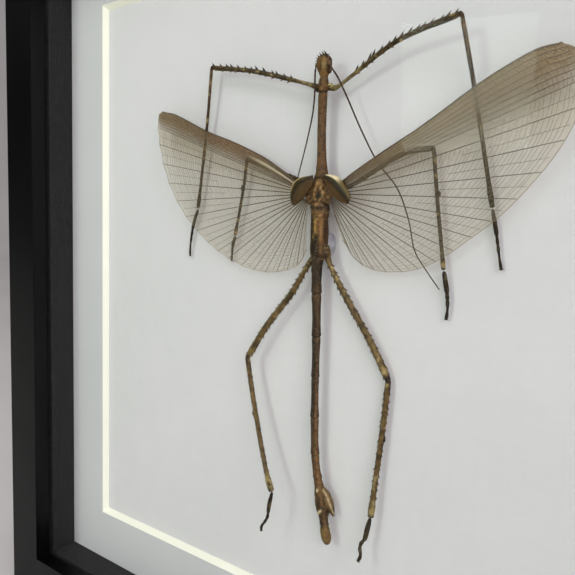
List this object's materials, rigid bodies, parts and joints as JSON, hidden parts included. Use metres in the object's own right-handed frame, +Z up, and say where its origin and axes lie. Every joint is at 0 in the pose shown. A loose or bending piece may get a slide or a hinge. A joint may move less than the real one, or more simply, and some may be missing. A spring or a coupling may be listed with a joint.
{
  "type": "framed giant stick insect specimen",
  "caption": "Winged giant stick insect spread flat and glued on a white board inside a square black glazed shadow-box frame with a bevelled white mat.",
  "frame": {"origin": "middle of the frame's foot, halfway through its depth", "axes": "+Z up the frame and from the insect's tail to its head, the glazed front faces -Y, +X to the viewer's right"},
  "size_m": [0.2772, 0.036, 0.2772],
  "materials": {
    "frame_black": "satin black paint on wood fibre moulding, slightly worn at the edges",
    "liner_black": "matt black card spacer",
    "pane": "clear polished float glass",
    "mat_white": "white mat board with a cream bevelled core",
    "backing_white": "smooth white mounting board",
    "panel_brown": "smooth brown hardboard",
    "steel": "bright zinc-plated sheet steel",
    "cuticle_brown": "dry insect cuticle, reddish and olive brown, finely granular with a soft gloss",
    "abdomen_brown": "dry insect cuticle, dark brown with paler side lines, soft gloss",
    "leg_brown": "dry insect cuticle, mottled olive brown with dark teeth",
    "foot_dark": "dry insect cuticle, almost black brown",
    "eye_dark": "dark glossy compound eye",
    "feeler_dark": "dark brown ringed feeler",
    "tegmen_brown": "leathery dark olive fore wing with a cream outer edge",
    "costal_brown": "stiff smoky brown wing strip with fine lengthwise veins",
    "membrane": "thin smoky wing membrane with dark ribs and fine cross veins, glossy and half see-through",
    "glue_clear": "clear set hot glue"
  },
  "bodies": {
    "root": {"rail_bottom": "frame_black", "rail_left": "frame_black", "rail_top": "frame_black", "rail_right": "frame_black", "liner_bottom": "liner_black", "liner_left": "liner_black", "liner_top": "liner_black", "liner_right": "liner_black", "glass": "pane", "mat": "mat_white", "backing": "backing_white", "back_panel": "panel_brown", "tab_bottom": "steel", "tab_left": "steel", "tab_top": "steel", "tab_right": "steel", "hanger": "steel", "head": "cuticle_brown", "eye_left": "eye_dark", "antenna_left": "feeler_dark", "eye_right": "eye_dark", "antenna_right": "feeler_dark", "prothorax": "cuticle_brown", "mesothorax": "cuticle_brown", "metathorax": "cuticle_brown", "abdomen_2": "abdomen_brown", "abdomen_3": "abdomen_brown", "abdomen_4": "abdomen_brown", "abdomen_5": "abdomen_brown", "abdomen_6": "abdomen_brown", "abdomen_7": "abdomen_brown", "abdomen_8_9": "abdomen_brown", "abdomen_end": "abdomen_brown", "femur_fore_left": "leg_brown", "tibia_fore_left": "leg_brown", "tarsus_fore_left": "foot_dark", "femur_fore_right": "leg_brown", "tibia_fore_right": "leg_brown", "tarsus_fore_right": "foot_dark", "femur_middle_left": "leg_brown", "tibia_middle_left": "leg_brown", "tarsus_middle_left": "foot_dark", "femur_middle_right": "leg_brown", "tibia_middle_right": "leg_brown", "tarsus_middle_right": "foot_dark", "femur_hind_left": "leg_brown", "tibia_hind_left": "leg_brown", "tarsus_hind_left": "foot_dark", "femur_hind_right": "leg_brown", "tibia_hind_right": "leg_brown", "tarsus_hind_right": "foot_dark", "hindwing_left_costal": "costal_brown", "hindwing_left_fan": "membrane", "tegmen_left": "tegmen_brown", "hindwing_right_costal": "costal_brown", "hindwing_right_fan": "membrane", "tegmen_right": "tegmen_brown", "glue_bead": "glue_clear"}
  },
  "joints": []
}
